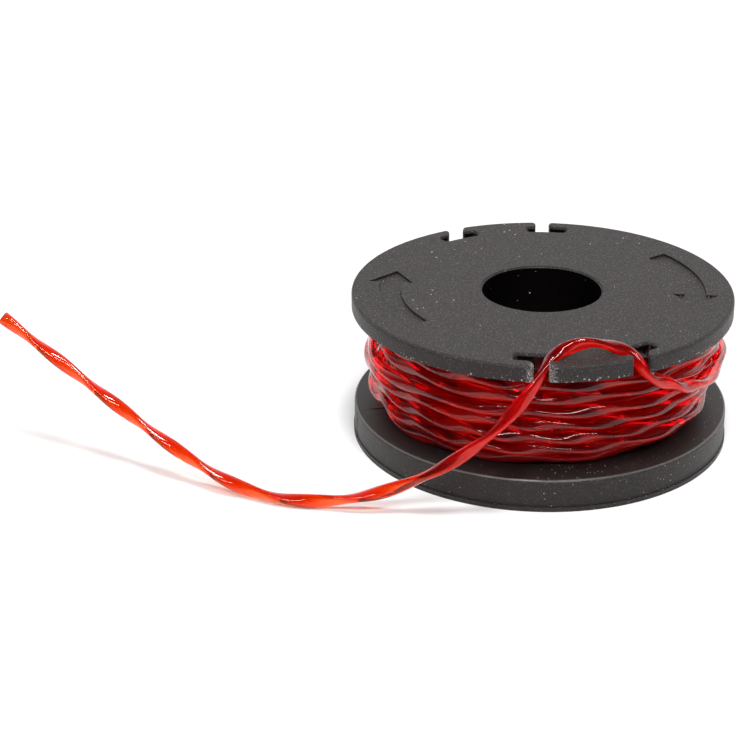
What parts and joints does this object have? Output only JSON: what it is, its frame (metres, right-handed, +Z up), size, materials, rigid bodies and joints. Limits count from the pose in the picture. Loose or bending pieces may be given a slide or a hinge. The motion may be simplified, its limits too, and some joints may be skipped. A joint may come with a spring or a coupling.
{
  "type": "trimmer line spool",
  "caption": "Black moulded spool with a through bore and T-notched flange, wound with twisted red trimmer line whose free end is held in the notches and lies out to one side.",
  "frame": {"origin": "centre of the base, on the surface that the spool stands on", "axes": "+Z up along the bore's axis, -Y towards the notches that hold the line, +X to the right when seen from there"},
  "size_m": [0.1143, 0.0625, 0.0275],
  "materials": {
    "spool_plastic": "black injection-moulded nylon with a fine spark-eroded grain",
    "trimmer_line": "glossy translucent red nylon monofilament, twisted"
  },
  "bodies": {
    "root": {"spool": "spool_plastic", "line_winding": "trimmer_line", "line_tail": "trimmer_line"}
  },
  "joints": []
}
